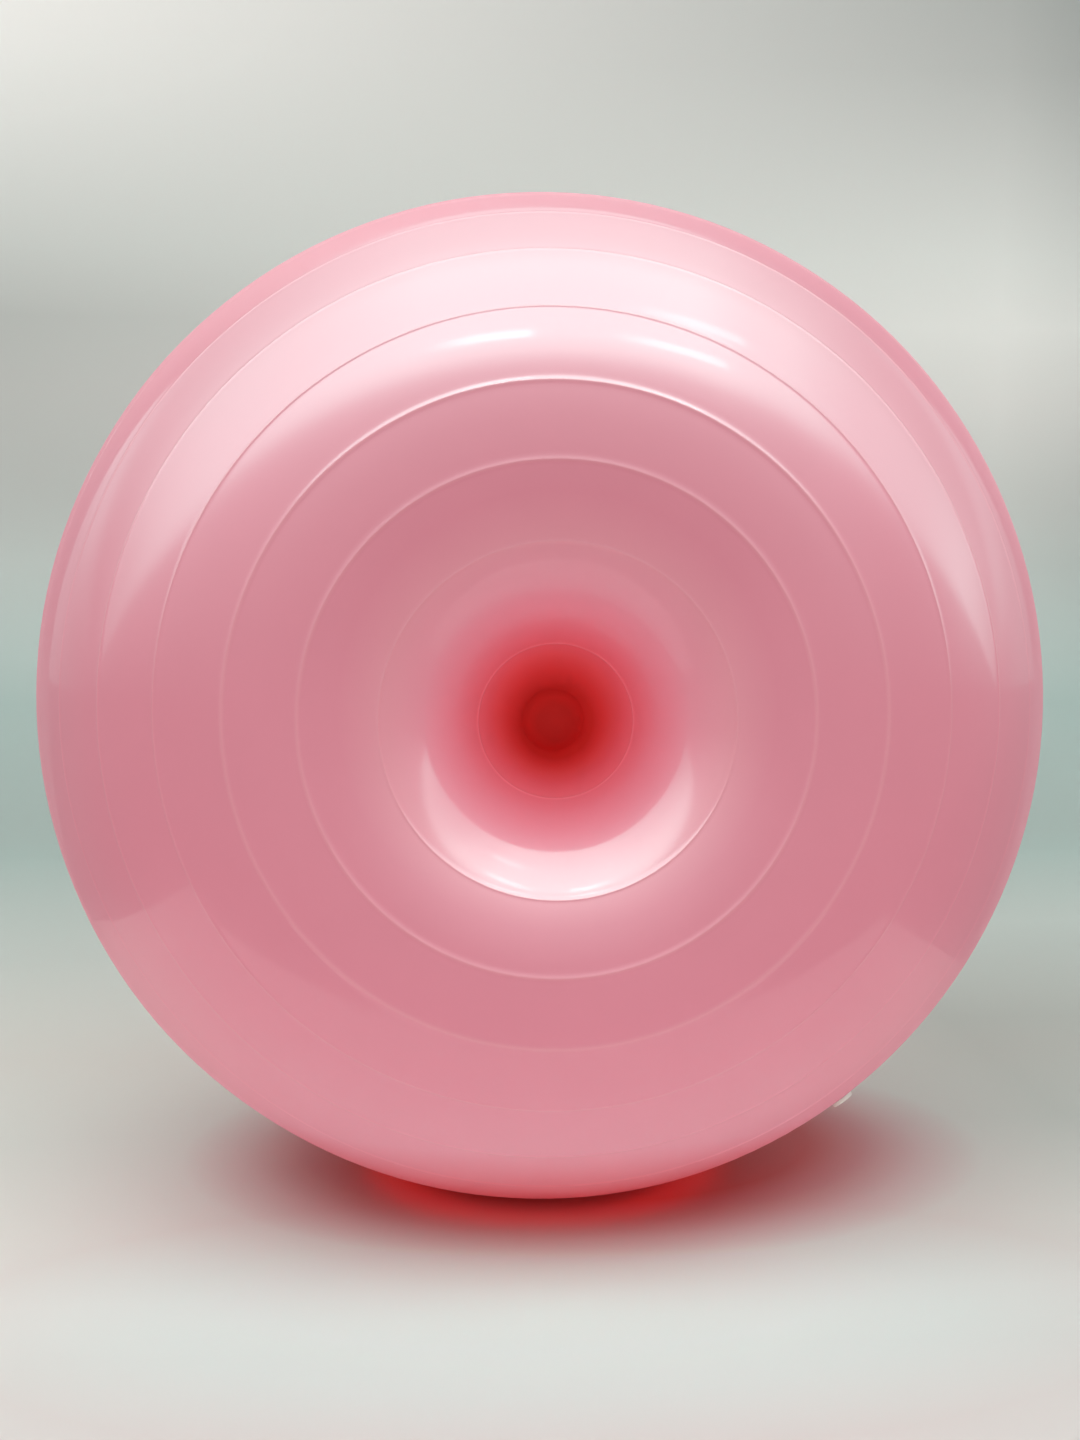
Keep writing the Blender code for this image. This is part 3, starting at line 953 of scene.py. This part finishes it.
def room_light():
    """A room whose mirror image on the skin is stronger than the light that it spreads, which
    stands in for the way that the camera evened out the photograph."""
    world = bpy.data.worlds.new("room")
    world.use_nodes = True
    tree = world.node_tree
    background = tree.nodes["Background"]
    coordinates = tree.nodes.new("ShaderNodeTexCoord")
    split = tree.nodes.new("ShaderNodeSeparateXYZ")
    tree.links.new(coordinates.outputs["Generated"], split.inputs["Vector"])
    lift = Field(split.outputs["Z"])
    height = lift.math("ARCTAN2", -Field(split.outputs["Y"]))
    side = Field(split.outputs["X"]).math("ARCSINE")
    raised = (height + ROOM_BOTTOM) / ROOM_SPAN
    by_height = coloured_ramp(tree, raised, grey_stops(ROOM_BY_HEIGHT))
    by_side = coloured_ramp(tree, side / pi + 0.5, grey_stops(ROOM_BY_SIDE))
    by_lift = coloured_ramp(tree, lift * 0.5 + 0.5, grey_stops(AMBIENT_BY_LIFT))
    path = tree.nodes.new("ShaderNodeLightPath")
    glossy = Field(path.outputs["Is Glossy Ray"])
    spread = -glossy + 1.0
    mirrored = Field(by_height) * Field(by_side) * ROOM_PEAK + MIRRORED_AMBIENT
    for pane in PANES:
        mirrored = mirrored + lit_pane(height, side, *pane)
    mirrored = mirrored * glossy
    from_left = -Field(split.outputs["X"]) * AMBIENT_BIAS + 1.0
    spread = spread * Field(by_lift) * from_left * AMBIENT_PEAK
    mix = tree.nodes.new("ShaderNodeMix")
    mix.data_type = "RGBA"
    tree.links.new(path.outputs["Is Camera Ray"], mix.inputs[0])
    grey = tree.nodes.new("ShaderNodeCombineColor")
    for index, channel in enumerate(("Red", "Green", "Blue")):
        light = spread * AMBIENT_TINT[index] + mirrored * MIRRORED_TINT[index]
        connect(grey.inputs[channel], light)
    tree.links.new(grey.outputs["Color"], mix.inputs[MIX_A])
    mix.inputs[MIX_B].default_value = CAMERA_GREY
    tree.links.new(mix.outputs[MIX_RESULT], background.inputs["Color"])
    bpy.context.scene.world = world


GLOW_LENGTH, GLOW_WIDTH = 0.17, 0.12
GLOW_COLOUR = (1.0, 0.03, 0.03)
GLOW_ENERGY = 0.020
GLOW_HEIGHT = 0.007


def glow_under_ball():
    """The red light that comes through the skin onto the table right where the ball stands."""
    glow = bpy.data.lights.new("glow", "AREA")
    glow.shape = "ELLIPSE"
    glow.size = GLOW_LENGTH
    glow.size_y = GLOW_WIDTH
    glow.color = GLOW_COLOUR
    glow.energy = GLOW_ENERGY
    lamp = bpy.data.objects.new("glow", glow)
    lamp.location = (0.0, 0.0, GLOW_HEIGHT)
    lamp.visible_camera = False
    lamp.visible_glossy = False
    bpy.context.scene.collection.objects.link(lamp)


glow_under_ball()
room_light()

# Camera
# A wide camera half a metre in front of the ball, a little above its middle, that looks slightly
# down and to the right.
CAMERA_PLACE = (-0.0233, -0.5107, 0.2503)
DEGREES_DOWN = 3.95
DEGREES_RIGHT = 2.42
camera_data = bpy.data.cameras.new("camera")
camera_data.lens = 27.0
camera_data.sensor_width = 36.0
camera_data.clip_start = 0.01
camera = bpy.data.objects.new("camera", camera_data)
camera.location = CAMERA_PLACE
camera.rotation_euler = (radians(90 - DEGREES_DOWN), 0.0, radians(-DEGREES_RIGHT))
bpy.context.scene.collection.objects.link(camera)
bpy.context.scene.camera = camera
bpy.context.scene.view_settings.view_transform = "Standard"
